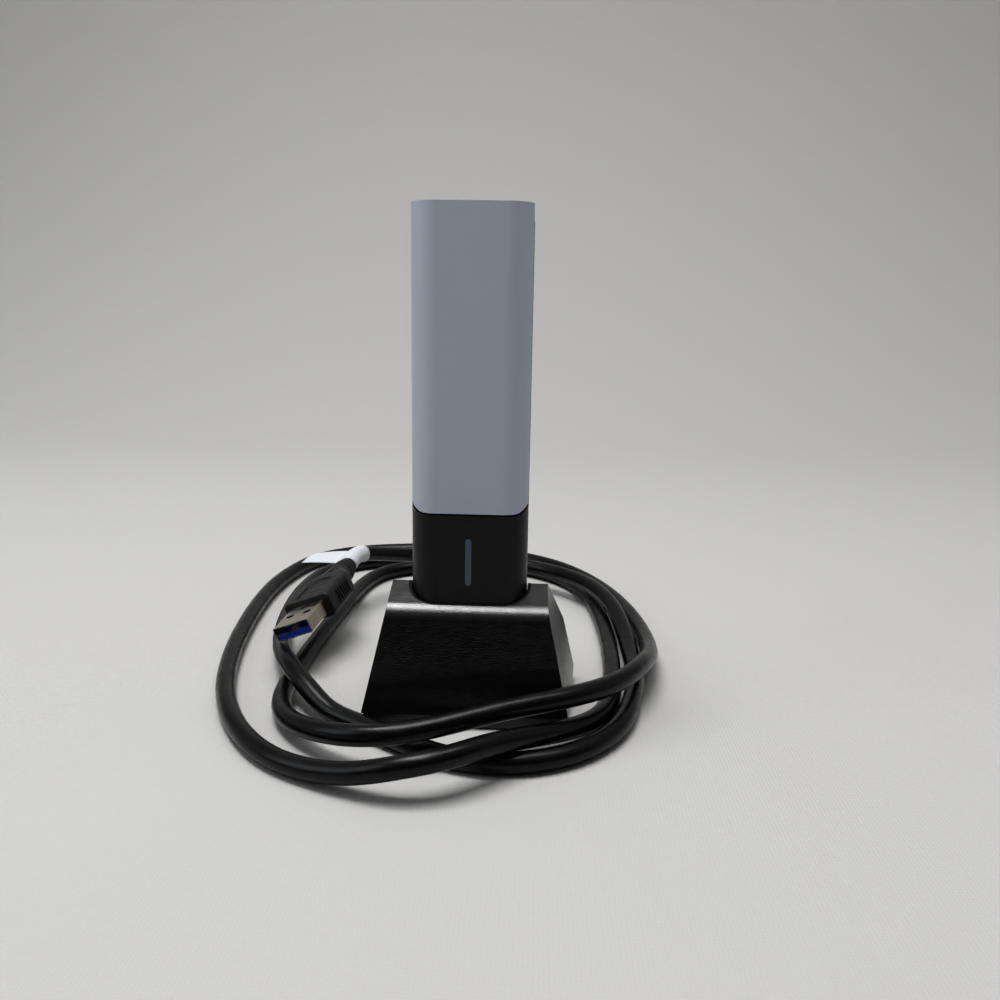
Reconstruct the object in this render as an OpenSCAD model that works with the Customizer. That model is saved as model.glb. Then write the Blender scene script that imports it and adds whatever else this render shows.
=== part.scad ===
// USB wireless adapter: a stick with a fold-up antenna flap, standing in a
// weighted desk cradle that carries its USB socket on a long cord.
// Z is up, the front faces -Y, and the cradle stands on z = 0.

/* [Stick] */
// Width of the stick across X
stick_w = 31.5; // [26:0.1:40]
// Thickness of the stick across Y
stick_t = 16.5; // [14.5:0.1:22]
// Corner radius of the stick's cross section
stick_r = 7; // [3:0.1:8]
// Length of the stick, without its plug
stick_l = 110.5; // [90:0.5:140]
// Height of the stick's lower end above the table
seat_z = 25; // [24:0.5:32]
// Wall of the two housing halves
housing_wall = 1.6; // [1.2:0.1:2.2]
// Seam between the housing halves, behind the axis
seam_y = 2.2; // [1:0.1:3]

/* [Antenna flap] */
// Length of the flap from the stick's top
flap_l = 79; // [60:0.5:95]
// Inner face of the flap, in front of the axis
flap_back = 2.5; // [2.4:0.1:3]
// Gap between flap and housing all round
flap_gap = 0.5; // [0.3:0.1:1]
// Radius of the flap's lower corners
flap_r = 4.5; // [2:0.1:6]
// Wall of the flap's cover
cover_wall = 1.3; // [1:0.1:1.8]
// Hinge axis below the stick's top
axis_drop = 2.1; // [2:0.1:2.4]
// Radius of the hinge barrel
barrel_r = 1.95; // [1.7:0.05:2]
// Half length of the hinge barrel
barrel_half = 12.8; // [9:0.1:14]
// Outer radius of the hollow hinge pins
pin_r = 1.1; // [0.9:0.05:1.2]
// Running clearance of the pins in the ears
pin_fit = 0.05; // [0.02:0.01:0.1]

/* [Status light] */
// Width of the light pipe
light_w = 1.7; // [1.2:0.1:4]
// Height of the light pipe
light_l = 13; // [6:0.5:16]
// Height of the light pipe's lower end above the stick's lower end
light_up = 11.8; // [9:0.1:13]

/* [Cradle] */
// Width of the foot at its front
foot_w = 57; // [50:0.5:75]
// Depth of the foot
foot_d = 37; // [36:0.5:50]
// Height of the crest that the stick stands in
crest_z = 35.7; // [34:0.1:42]
// Sideways growth of each side toward the rear, per mm of depth
side_flare = 0.08; // [0:0.01:0.15]
// Inward lean of each side, per mm of height
side_lean = 0.24; // [0.1:0.01:0.26]
// Wall of the cradle shell
shell_wall = 2; // [1.6:0.1:2.6]
// Height of the plinth under the shell
plinth_z = 4; // [3.4:0.1:5]
// Clearance round the stick in the cradle's well
well_gap = 0.3; // [0.2:0.05:0.6]
// Thickness of the rubber foot
pad_t = 1.2; // [0.8:0.1:1.6]

/* [USB] */
// Width of the plug's metal shell
usb_w = 12; // [11.9:0.05:12.1]
// Height of the plug's metal shell
usb_h = 4.5; // [4.45:0.05:4.6]
// Free length of the stick's plug
usb_l = 17.5; // [16.5:0.1:18.5]
// Sheet thickness of the USB shells
usb_sheet = 0.3; // [0.25:0.05:0.4]
// Sliding clearance between plug and socket
usb_fit = 0.1; // [0.05:0.01:0.15]

/* [Cord] */
// Diameter of the cord
cord_d = 5.5; // [4:0.1:6.5]
// Width of the loose plug's grip
grip_w = 16; // [15:0.1:18]
// Height of the loose plug's grip
grip_h = 8; // [7:0.1:9]
// Length of the loose plug's grip
grip_l = 27; // [20:0.5:34]

/* [Hidden] */
$fn = 48;
e = 0.01;
top_z = seat_z + stick_l;
axis_z = top_z - axis_drop;
flap_z = top_z - flap_l;
body_top = axis_z - axis_drop - 0.1;
half_t = stick_t / 2;
half_w = stick_w / 2;
in_w = stick_w - 2 * housing_wall;
in_t = stick_t - 2 * housing_wall;
panel_front = flap_back - 0.4;
panel_t = 1.3;
room_top = body_top - 3.2;
room_low = seat_z + 2;
ear_in = barrel_half + 0.2;
ear_out = half_w - 0.45;
lead_x = ear_out - 0.8;

crest_y = 0;
back_z = 19;
shell_pts = [[-foot_d / 2, plinth_z], [-foot_d / 2 + 7, crest_z - 5],
             [crest_y, crest_z], [foot_d / 2, back_z], [foot_d / 2, plinth_z]];

socket_w = usb_w + 2 * usb_fit + 2 * usb_sheet;
socket_h = usb_h + 2 * usb_fit + 2 * usb_sheet;
socket_l = usb_l + 0.6;
board_top = seat_z - socket_l - 0.2;
board_t = 1;
insert_h = (usb_h - 2 * usb_sheet) / 2 - 0.1;
tongue_t = 1.6;

gland_z = 9;
gland_y = 27;
cord_r = cord_d / 2;
grip_pos = [-53.9, 12.8, 14.6];
grip_turn = [6, -22, -7];
plug_l = 14;
relief_l = 9;

route = [[0, 27, 9], [0, 40, 7], [0, 60, 3], [0, 85, 3], [-3, 104, 3], [-12, 118, 3],
         [-26, 122, 3], [-40, 116, 3], [-48, 102, 3], [-50.5, 76, 3], [-52, 42, 3],
         [-52.6, 15, 3], [-52.4, -6, 3], [-47, -23, 4], [-34, -36, 7], [-20, -41, 9],
         [-7, -38, 10], [8, -32, 12], [20, -28, 13], [31, -22, 13], [42, -11, 12],
         [50, 6, 11], [55, 29, 5], [54.5, 60, 3], [48, 91, 3], [34, 121, 3], [15, 138, 3],
         [-8, 148, 3], [-36, 149, 3], [-60, 142, 3], [-76, 128, 3], [-82, 102, 3],
         [-83, 76, 3], [-78, 30, 3], [-68, -10, 3], [-52, -36, 3], [-38, -46, 3],
         [-24, -52, 5], [-12, -55, 9], [-1, -52, 10], [9, -43, 9.6], [23, -31.5, 6.6],
         [33.5, -19.5, 3.8], [40, -5, 3], [42, 16, 3], [43, 47, 3], [40.5, 84, 3],
         [34.5, 103, 3], [25, 116, 3], [11, 125, 3], [-10, 130, 3], [-38, 131, 3],
         [-57, 125, 3], [-68, 109, 3], [-70.5, 84, 3], [-68, 56, 3.6], [-63.5, 33, 4.6],
         [-57, 12, 8], [-49.8, -3, 9.3], [-42, -12, 6.2], [-35.5, -17.5, 3], [-25, -24, 3],
         [-10, -35, 3], [2, -40.5, 3], [15, -40.5, 3], [29, -35, 3], [41, -21, 3],
         [46, -3, 3], [49, 14, 3], [49, 32, 3], [48, 52, 6], [43, 75, 9.6], [29, 98, 9],
         [8, 110, 9], [-14, 109, 11], [-30, 97, 15], [-40.5, 83.5, 19]];

// ---------- shared shapes ----------

module rounded(w, d, r) {
  square([w - 2 * r, d], center = true);
  square([w, d - 2 * r], center = true);
  for (x = [-1, 1], y = [-1, 1]) translate([x * (w / 2 - r), y * (d / 2 - r)]) circle(r);
}

module bar(w, d, r, z0, z1) {
  translate([0, 0, z0]) linear_extrude(z1 - z0) rounded(w, d, r);
}

module box(x, y, z) {
  translate([x[0], y[0], z[0]]) cube([x[1] - x[0], y[1] - y[0], z[1] - z[0]]);
}

// A rod from one end to the other along X, Y or Z
module rod_x(r, x0, x1, y, z) { translate([x0, y, z]) rotate([0, 90, 0]) cylinder(r = r, h = x1 - x0); }
module rod_y(r, y0, y1, x, z) { translate([x, y1, z]) rotate([90, 0, 0]) cylinder(r = r, h = y1 - y0); }
module rod_z(r, z0, z1, x, y) { translate([x, y, z0]) cylinder(r = r, h = z1 - z0); }

function unit(v) = v / norm(v);
function side_of(a, b) = let (d = unit(b - a)) [-d[1], d[0]];
function inset(p, d) = [for (i = [0:len(p) - 1])
  let (a = side_of(p[(i + len(p) - 1) % len(p)], p[i]), b = side_of(p[i], p[(i + 1) % len(p)]))
  p[i] - (a + b) * d / (1 + a * b)];

// The inside of a USB plug's metal shell
module usb_mouth(z0, z1) {
  x = usb_w / 2 - usb_sheet;
  y = usb_h / 2 - usb_sheet;
  box([-x, x], [-y, y], [z0, z1]);
}

// ---------- cradle ----------

lean_a = -atan(side_flare);
lean_b = asin(side_lean / norm([1, side_flare, side_lean]));

// Everything outside one sloping side of the cradle, moved in by d
module side_cut(s, d) {
  mirror([s < 0 ? 1 : 0, 0, 0])
    translate([foot_w / 2, -foot_d / 2, 0])
      rotate([0, 0, lean_a]) rotate([0, -lean_b, 0])
        translate([-d, -200, -200]) cube([400, 400, 400]);
}

module cradle_form(d) {
  difference() {
    rotate([90, 0, 90]) translate([0, 0, -60]) linear_extrude(120) polygon(inset(shell_pts, d));
    for (s = [-1, 1]) side_cut(s, d);
  }
}

function half_at(y, z) = foot_w / 2 + side_flare * (y + foot_d / 2) - side_lean * z;

module foot_outline(d) {
  polygon([[-half_at(-foot_d / 2, plinth_z) + d, -foot_d / 2 + d],
           [half_at(-foot_d / 2, plinth_z) - d, -foot_d / 2 + d],
           [half_at(foot_d / 2, plinth_z) - d, foot_d / 2 - d],
           [-half_at(foot_d / 2, plinth_z) + d, foot_d / 2 - d]]);
}

well_w = stick_w + 2 * well_gap + 1.6;
well_t = stick_t + 2 * well_gap + 1.6;
well_r = stick_r + well_gap + 0.8;
boss_x = half_at(0, plinth_z) - 7;
boss_y = foot_d / 2 - 7;

module plinth_bosses(r, z0, z1) {
  for (x = [-1, 1], y = [-1, 1]) rod_z(r, z0, z1, x * (boss_x - (y < 0 ? 1.5 : 0)), y * boss_y);
}

module board_posts(r, z0, z1) { for (x = [-1, 1]) rod_z(r, z0, z1, x * 13, 0); }

module cradle_shell() {
  color([0.05, 0.05, 0.06]) difference() {
    union() {
      difference() {
        cradle_form(0);
        difference() {
          union() {
            cradle_form(shell_wall);
            translate([0, 0, plinth_z - 1]) linear_extrude(1 + shell_wall + e) foot_outline(shell_wall);
          }
          bar(well_w + 3, well_t + 3, well_r + 1.5, seat_z - 4, crest_z + 1);
        }
      }
      intersection() {
        plinth_bosses(2.6, plinth_z, 20);
        cradle_form(1);
      }
    }
    bar(well_w, well_t, well_r, seat_z - 2, crest_z + 1);
    bar(socket_w + 0.4, socket_h + 0.4, 0.4, seat_z - 6, seat_z);
    plinth_bosses(0.9, plinth_z - 1, 13);
    rod_y(4.2, foot_d / 2 - shell_wall - 2, foot_d / 2 + 1, 0, gland_z);
  }
}

module well_liner() {
  color([0.02, 0.02, 0.02]) intersection() {
    difference() {
      bar(well_w, well_t, well_r, seat_z - 2, crest_z + 1);
      bar(stick_w + 2 * well_gap, stick_t + 2 * well_gap, stick_r + well_gap, seat_z, crest_z + 2);
      bar(socket_w + 0.4, socket_h + 0.4, 0.4, seat_z - 3, seat_z + 1);
    }
    cradle_form(0.2);
  }
}

module cradle_plinth() {
  color([0.07, 0.07, 0.08]) difference() {
    union() {
      difference() {
        translate([0, 0, 0.6]) linear_extrude(plinth_z - 0.6) foot_outline(0.5);
        translate([0, 0, 2]) linear_extrude(plinth_z) foot_outline(2.6);
      }
      plinth_bosses(2.4, 1.9, plinth_z);
      board_posts(2.2, 1.9, board_top - board_t);
    }
    plinth_bosses(1, 0, 10);
    plinth_bosses(1.9, 0, 2);
    board_posts(0.7, 2.8, board_top);
    translate([0, 0, -1]) linear_extrude(pad_t + 1) foot_outline(4);
  }
}

module foot_pad() {
  color([0.1, 0.1, 0.1]) linear_extrude(pad_t) foot_outline(4.1);
}

module ballast_plate() {
  color([0.6, 0.6, 0.62]) for (s = [-1, 1])
    box([s * 10 - 7.5, s * 10 + 7.5], [-foot_d / 2 + 4, -3.2], [2, 3.5]);
}

module plinth_screws() {
  color([0.7, 0.7, 0.72]) {
    plinth_bosses(1.7, pad_t, 1.95);
    plinth_bosses(0.85, 1.9, 11);
  }
}

module socket_shell() {
  color([0.78, 0.77, 0.74]) difference() {
    bar(socket_w, socket_h, 0.35, board_top, seat_z - 0.2);
    bar(usb_w + 2 * usb_fit, usb_h + 2 * usb_fit, 0.2, board_top + 0.4, seat_z);
  }
}

module socket_tongue() {
  color([0.1, 0.25, 0.7]) difference() {
    union() {
      box([-usb_w / 2 + 0.6, usb_w / 2 - 0.6], [0.15, 0.15 + tongue_t],
          [board_top + 0.4, seat_z - usb_l + 9]);
      box([-usb_w / 2 - 0.05, usb_w / 2 + 0.05], [-usb_h / 2 - 0.05, usb_h / 2 + 0.05],
          [board_top + 0.4, seat_z - usb_l - 0.1]);
    }
    for (x = [-3.5, -1, 1, 3.5])
      box([x - 0.5, x + 0.5], [0, 0.35], [board_top + 0.3, seat_z - usb_l + 8]);
  }
}

module socket_contacts() {
  color([0.9, 0.75, 0.35]) for (x = [-3.5, -1, 1, 3.5])
    box([x - 0.45, x + 0.45], [0.17, 0.35], [seat_z - usb_l + 0.2, seat_z - usb_l + 7.8]);
}

module socket_board() {
  color([0.05, 0.25, 0.12]) difference() {
    box([-16, 16], [-9, foot_d / 2 - 4.1], [board_top - board_t, board_top]);
    board_posts(1, 0, board_top + 1);
  }
}

module board_screws() {
  color([0.7, 0.7, 0.72]) {
    board_posts(1.6, board_top, board_top + 0.8);
    board_posts(0.65, 3, board_top + 0.1);
  }
}

module cord_gland() {
  color([0.04, 0.04, 0.04]) difference() {
    union() {
      rod_y(4.1, foot_d / 2 - shell_wall - 1, foot_d / 2, 0, gland_z);
      rod_y(5, foot_d / 2 - shell_wall - 2, foot_d / 2 - shell_wall, 0, gland_z);
      translate([0, foot_d / 2, gland_z]) rotate([-90, 0, 0])
        cylinder(r1 = 4.1, r2 = cord_r + 0.7, h = gland_y - foot_d / 2);
    }
    rod_y(cord_r - 0.4, 0, gland_y + 1, 0, gland_z);
  }
}

module cord_clamp() {
  color([0.12, 0.12, 0.12]) difference() {
    box([-6, 6], [foot_d / 2 - 6.6, foot_d / 2 - 4.2], [board_top, gland_z + 4]);
    rod_y(1.8, 0, foot_d / 2, 0, gland_z);
  }
}

module inner_wires() {
  color([0.7, 0.1, 0.1]) for (x = [-1.1, 1.1]) {
    rod_y(0.6, 9.5, foot_d / 2, x, gland_z);
    translate([x, 9.5, gland_z]) sphere(0.6);
    rod_z(0.6, board_top, gland_z, x, 9.5);
  }
}

// ---------- stick ----------

// The space that the flap folds into, grown by g
module flap_space(g) {
  z0 = flap_z - g;
  difference() {
    box([-half_w - 1, half_w + 1], [-half_t - 1, -flap_back + g], [z0, top_z + 5]);
    for (s = [-1, 1]) difference() {
      x0 = half_w - flap_r + 0.4;
      box(s < 0 ? [-half_w - 2, -x0] : [x0, half_w + 2], [-half_t - 2, 1], [z0 - 1, flap_z + flap_r]);
      rod_y(flap_r + g, -half_t - 3, 2, s * x0, flap_z + flap_r);
    }
  }
}

module ears(r) {
  for (s = [-1, 1]) {
    x = s < 0 ? -ear_out : ear_in;
    rod_x(r, x, x + ear_out - ear_in, 0, axis_z);
    box([x, x + ear_out - ear_in], [-1.6, 1.6], [body_top - 0.5, axis_z]);
  }
}

module room(z0, z1) {
  bar(in_w, in_t, stick_r - housing_wall, z0, z1);
}

screw_at = [for (x = [-1, 1], z = [flap_z + 8.5, body_top - 14.2]) [x * (in_w / 2 - 2.2), z]];

module board_pads() {
  for (x = [-9, 9], z = [flap_z + 18, body_top - 24])
    box([x - 1, x + 1], [-panel_front, -0.5], [z, z + 3]);
}

module housing_bosses(r, y0, y1) { for (p = screw_at) rod_y(r, y0, y1, p[0], p[1]); }

module rear_housing() {
  color([0.05, 0.05, 0.06]) difference() {
    union() {
      difference() {
        bar(stick_w, stick_t, stick_r, seat_z, body_top);
        difference() {
          room(room_low, room_top);
          housing_bosses(1.7, seam_y, half_t);
        }
        rod_x(barrel_r + 0.4, -half_w, half_w, 0, axis_z);
      }
    }
    box([-half_w - 1, half_w + 1], [-half_t - 1, seam_y], [seat_z - 1, top_z]);
    housing_bosses(0.75, 0, half_t - 1.2);
    bar(usb_w + 0.04, usb_h + 0.04, 0.42, seat_z - 1, room_low + 1);
  }
}

module front_housing() {
  color([0.05, 0.05, 0.06]) difference() {
    union() {
      difference() {
        bar(stick_w, stick_t, stick_r, seat_z, body_top);
        box([-half_w - 1, half_w + 1], [seam_y, half_t + 1], [seat_z - 1, top_z]);
        rod_x(barrel_r + 0.4, -half_w, half_w, 0, axis_z);
      }
      ears(1.95);
    }
    flap_space(flap_gap);
    difference() {
      intersection() {
        room(room_low, room_top);
        union() {
          box([-half_w, half_w], [-panel_front + panel_t, half_t], [0, top_z]);
          box([-half_w, half_w], [-half_t, half_t], [0, flap_z - flap_gap - panel_t]);
        }
      }
      housing_bosses(1.7, -half_t, seam_y);
      board_pads();
    }
    housing_bosses(0.85, -half_t, seam_y + 1);
    housing_bosses(1.4, -half_t, -panel_front + 0.8);
    for (s = [-1, 1]) rod_x(pin_r + pin_fit, s < 0 ? -ear_out + 0.3 : ear_in - e,
                            s < 0 ? -ear_in + e : ear_out - 0.3, 0, axis_z);
    for (s = [-1, 1]) {
      rod_z(0.65, room_top - 6.6, axis_z, s * lead_x, 0);
      rod_x(0.65, s < 0 ? -lead_x - 0.6 : in_w / 2 - 1, s < 0 ? -in_w / 2 + 1 : lead_x + 0.6,
          0, room_top - 6);
    }
    translate([0, 0, seat_z + light_up + light_l / 2]) rotate([90, 0, 0])
      linear_extrude(half_t + 1) rounded(light_w, light_l, light_w / 2 - e);
    bar(usb_w + 0.04, usb_h + 0.04, 0.42, seat_z - 1, room_low + 1);
  }
}

module light_pipe() {
  color([0.5, 0.55, 0.65]) {
    translate([0, -4, seat_z + light_up + light_l / 2]) rotate([90, 0, 0])
      linear_extrude(half_t - 4) rounded(light_w, light_l, light_w / 2 - e);
    box([-2.4, 2.4], [-4.6, -3.4], [seat_z + light_up - 1, seat_z + light_up + light_l + 1]);
  }
}

module main_board() {
  color([0.05, 0.28, 0.14]) difference() {
    box([-in_w / 2 + 1, in_w / 2 - 1], [-0.5, 0.5], [room_low + 1.2, room_top - 8]);
    housing_bosses(2, -2, 2);
  }
}

module shield_can() {
  color([0.75, 0.75, 0.76]) difference() {
    box([-9, 9], [0.5, 2.7], [seat_z + 66, seat_z + 90]);
    box([-8.7, 8.7], [0.4, 2.45], [seat_z + 66.3, seat_z + 89.7]);
  }
}

module radio_chip() {
  color([0.12, 0.12, 0.13]) box([-4.5, 4.5], [0.5, 1.4], [seat_z + 73.5, seat_z + 82.5]);
}

module thermal_pad() {
  color([0.55, 0.65, 0.75]) box([-4.5, 4.5], [1.4, 2.45], [seat_z + 73.5, seat_z + 82.5]);
}

module heat_plate() {
  color([0.72, 0.73, 0.75]) box([-8.5, 8.5], [2.7, 3.9], [seat_z + 50, seat_z + 89]);
}

module status_led() {
  color([0.9, 0.9, 0.8]) {
    box([-0.8, 0.8], [-1.3, -0.5], [seat_z + 17.5, seat_z + 19.1]);
    box([-1.1, 1.1], [-2.1, -1.3], [seat_z + 17.2, seat_z + 19.4]);
  }
}

module lead_sockets() {
  color([0.85, 0.7, 0.35]) for (s = [-1, 1]) rod_y(1.1, 0.5, 1.7, s * 6, room_top - 11);
}

module radio_leads() {
  color([0.1, 0.1, 0.1]) for (s = [-1, 1]) {
    rod_z(0.5, room_top - 6, axis_z - pin_r - pin_fit, s * lead_x, 0);
    translate([s * lead_x, 0, room_top - 6]) sphere(0.5);
    rod_x(0.5, s < 0 ? -lead_x : 6, s < 0 ? -6 : lead_x, 0, room_top - 6);
    translate([s * 6, 0, room_top - 6]) sphere(0.5);
    rod_y(0.5, 0, 2.2, s * 6, room_top - 6);
    translate([s * 6, 2.2, room_top - 6]) sphere(0.5);
    rod_z(0.5, room_top - 11, room_top - 6, s * 6, 2.2);
    translate([s * 6, 2.2, room_top - 11]) sphere(0.5);
  }
}

module plug_shell() {
  color([0.8, 0.79, 0.76]) difference() {
    bar(usb_w, usb_h, 0.4, seat_z - usb_l, room_low + 1);
    usb_mouth(seat_z - usb_l - 1, room_low + 2);
    for (x = [-1, 1])
      box([x * 3 - 1.25, x * 3 + 1.25], [-usb_h, usb_h], [seat_z - usb_l + 6, seat_z - usb_l + 8.2]);
  }
}

module plug_insert() {
  color([0.1, 0.25, 0.7]) difference() {
    union() {
      box([-usb_w / 2 + usb_sheet, usb_w / 2 - usb_sheet],
          [-usb_h / 2 + usb_sheet, -usb_h / 2 + usb_sheet + insert_h], [seat_z - usb_l + 0.3, room_low + 1]);
      box([-usb_w / 2 + usb_sheet + 0.2, usb_w / 2 - usb_sheet - 0.2],
          [-usb_h / 2 + usb_sheet, usb_h / 2 - usb_sheet], [seat_z - usb_l + 9.5, room_low + 1]);
    }
    for (x = [-3.5, -1, 1, 3.5])
      box([x - 0.55, x + 0.55], [-usb_h / 2 + usb_sheet + insert_h - 0.2, 1],
          [seat_z - usb_l + 0.6, seat_z - usb_l + 9]);
  }
}

module plug_contacts() {
  color([0.9, 0.75, 0.35]) for (x = [-3.5, -1, 1, 3.5])
    box([x - 0.5, x + 0.5], [-usb_h / 2 + usb_sheet + insert_h - 0.2, -usb_h / 2 + usb_sheet + insert_h],
        [seat_z - usb_l + 0.7, seat_z - usb_l + 8.9]);
}

module housing_screws() {
  color([0.7, 0.7, 0.72]) for (p = screw_at) {
    rod_y(1.3, -panel_front + 0.05, -panel_front + 0.8, p[0], p[1]);
    rod_y(0.7, -panel_front + 0.7, half_t - 2.4, p[0], p[1]);
  }
}

// ---------- antenna flap ----------

cover_front = -half_t;
board_y = -flap_back - 2.6;
patch_z = [flap_z + 14, flap_z + 46];
flap_screws = [for (x = [-1, 1], z = [flap_z + 8, top_z - 12]) [x * 9.5, z]];

module flap_posts(r, y0, y1) { for (p = flap_screws) rod_y(r, y0, y1, p[0], p[1]); }

module flap_bar(w, z1) {
  intersection() {
    bar(w, stick_t, stick_r, flap_z, z1);
    flap_space(0);
  }
}

module antenna_cover() {
  color([0.5, 0.51, 0.53]) difference() {
    union() {
      difference() {
        flap_bar(stick_w, top_z);
        box([-half_w + 3.2, half_w - 3.2], [cover_front + cover_wall, -flap_back - 1.2],
            [flap_z + cover_wall + 1, top_z - 6]);
        box([-half_w + 2.2, half_w - 2.2], [-flap_back - 1.2, 0], [flap_z + cover_wall, top_z - 5]);
      }
      rod_x(barrel_r, -barrel_half, barrel_half, 0, axis_z);
      box([-barrel_half, barrel_half], [-flap_back, 0], [axis_z, top_z]);
      flap_posts(1.5, cover_front + cover_wall - e, -flap_back - 1.2);
      flap_posts(2.4, cover_front + cover_wall - e, board_y - 0.8);
    }
    flap_posts(0.6, cover_front + 1, 0);
    rod_x(pin_r + 0.02, -barrel_half - 1, -barrel_half + 3, 0, axis_z);
    rod_x(pin_r + 0.02, barrel_half - 3, barrel_half + 1, 0, axis_z);
    rod_x(0.65, -barrel_half, -4, 0, axis_z);
    rod_x(0.65, 4, barrel_half, 0, axis_z);
    for (s = [-1, 1]) rod_y(0.7, -flap_back - 3.2, 0.4, s * 4.6, axis_z);
    for (s = [-1, 1]) rod_z(0.8, top_z - 7, axis_z + 0.3, s * 4.6, -flap_back - 2.2);
  }
}

module antenna_back() {
  color([0.05, 0.05, 0.06]) difference() {
    box([-half_w + 2.25, half_w - 2.25], [-flap_back - 1.2, -flap_back],
        [flap_z + cover_wall + 0.05, top_z - 5.05]);
    flap_posts(0.7, -half_t, 0);
    flap_posts(1.35, -flap_back - 0.7, 0);
  }
}

module antenna_board() {
  color([0.75, 0.7, 0.5]) difference() {
    box([-half_w + 4, half_w - 4], [board_y - 0.8, board_y], [flap_z + 3.5, top_z - 8]);
    flap_posts(1.55, -half_t, 0);
  }
}

module antenna_patches() {
  color([0.85, 0.5, 0.3]) for (x = [-1, 1], z = patch_z)
    box([x * 5.6 - 4.4, x * 5.6 + 4.4], [board_y, board_y + 0.1], [z, z + 17]);
}

module antenna_leads() {
  color([0.1, 0.1, 0.1]) for (s = [-1, 1]) {
    x1 = s < 0 ? -lead_x + 0.8 : 4.6;
    rod_z(0.5, top_z - 14, axis_z, s * 4.6, board_y + 0.5);
    translate([s * 4.6, board_y + 0.5, axis_z]) sphere(0.5);
    rod_y(0.5, board_y + 0.5, 0, s * 4.6, axis_z);
    translate([s * 4.6, 0, axis_z]) sphere(0.5);
    rod_x(0.5, x1, x1 + lead_x - 5.4, 0, axis_z);
  }
}

module antenna_screws() {
  color([0.7, 0.7, 0.72]) {
    flap_posts(1.3, -flap_back - 0.7, -flap_back - 0.1);
    flap_posts(0.55, cover_front + 1.4, -flap_back - 0.6);
  }
}

module hinge_pins() {
  color([0.72, 0.72, 0.74]) for (s = [-1, 1]) difference() {
    x0 = s < 0 ? -ear_out + 0.5 : barrel_half - 2.9;
    rod_x(pin_r, x0, x0 + ear_out - barrel_half + 2.4, 0, axis_z);
    rod_x(0.6, x0 - 1, x0 + ear_out - barrel_half + 4, 0, axis_z);
  }
}

module hinge_washers() {
  color([0.8, 0.8, 0.82]) for (s = [-1, 1]) difference() {
    x0 = s < 0 ? -ear_in : barrel_half;
    rod_x(1.8, x0 + 0.02, x0 + ear_in - barrel_half - 0.02, 0, axis_z);
    rod_x(pin_r + 0.02, x0 - 1, x0 + 2, 0, axis_z);
  }
}

// ---------- loose plug and cord ----------

module at_plug() {
  translate(grip_pos) rotate([0, 0, grip_turn[2]]) rotate([grip_turn[0], 0, 0])
    rotate([0, grip_turn[1], 0]) rotate([-90, 0, 0]) children();
}

module cord_plug_shell() {
  color([0.8, 0.79, 0.76]) at_plug() difference() {
    bar(usb_w, usb_h, 0.4, 0, plug_l + 3);
    usb_mouth(-1, plug_l + 4);
    for (x = [-1, 1]) box([x * 3 - 1.25, x * 3 + 1.25], [-usb_h, usb_h], [6, 8.2]);
  }
}

module cord_plug_insert() {
  color([0.1, 0.25, 0.7]) at_plug() difference() {
    union() {
      box([-usb_w / 2 + usb_sheet, usb_w / 2 - usb_sheet],
          [usb_h / 2 - usb_sheet - insert_h, usb_h / 2 - usb_sheet], [0.3, plug_l + 3]);
      box([-usb_w / 2 + usb_sheet + 0.2, usb_w / 2 - usb_sheet - 0.2],
          [-usb_h / 2 + usb_sheet, usb_h / 2 - usb_sheet], [9.5, plug_l + 3]);
    }
    for (x = [-3.5, -1, 1, 3.5])
      box([x - 0.55, x + 0.55], [0, usb_h / 2 - usb_sheet - insert_h + 0.2], [0.6, 9]);
  }
}

module cord_plug_contacts() {
  color([0.9, 0.75, 0.35]) at_plug() for (x = [-3.5, -1, 1, 3.5])
    box([x - 0.5, x + 0.5],
        [usb_h / 2 - usb_sheet - insert_h, usb_h / 2 - usb_sheet - insert_h + 0.2], [0.7, 8.9]);
}

module cord_plug_grip() {
  color([0.06, 0.06, 0.06]) at_plug() difference() {
    union() {
      bar(grip_w, grip_h, 2, plug_l, plug_l + grip_l - 5);
      bar(grip_w - 3, grip_h - 0.6, 2, plug_l + grip_l - 5, plug_l + grip_l);
      for (s = [-1, 1], k = [0:4])
        box(s < 0 ? [-grip_w / 2 - 0.4, -grip_w / 2 + 1] : [grip_w / 2 - 1, grip_w / 2 + 0.4],
            [-grip_h / 2 + 2, grip_h / 2 - 2], [plug_l + 9 + 2.4 * k, plug_l + 10.2 + 2.4 * k]);
    }
    box([-4.5, 4.5], [-grip_h / 2 - 1, -grip_h / 2 + 0.4], [plug_l + 3, plug_l + 18]);
    bar(usb_w + 0.02, usb_h + 0.02, 0.41, plug_l - 1, plug_l + 3);
    translate([0, 0, plug_l + grip_l - 4]) cylinder(r = 2.6, h = 6);
  }
}

module cord_relief() {
  color([0.05, 0.05, 0.05]) at_plug() {
    translate([0, 0, plug_l + grip_l - 4]) cylinder(r = 2.6, h = 4);
    translate([0, 0, plug_l + grip_l]) cylinder(r1 = 4.2, r2 = cord_r + 0.4, h = relief_l);
  }
}

function rot_x(v, a) = [v[0], v[1] * cos(a) - v[2] * sin(a), v[1] * sin(a) + v[2] * cos(a)];
function rot_y(v, a) = [v[0] * cos(a) + v[2] * sin(a), v[1], -v[0] * sin(a) + v[2] * cos(a)];
function rot_z(v, a) = [v[0] * cos(a) - v[1] * sin(a), v[0] * sin(a) + v[1] * cos(a), v[2]];
function on_plug(d) = grip_pos
  + rot_z(rot_x(rot_y([0, d, 0], grip_turn[1]), grip_turn[0]), grip_turn[2]);

plug_end = plug_l + grip_l + relief_l;
path = concat(route, [on_plug(plug_end + 12), on_plug(plug_end)]);

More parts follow.
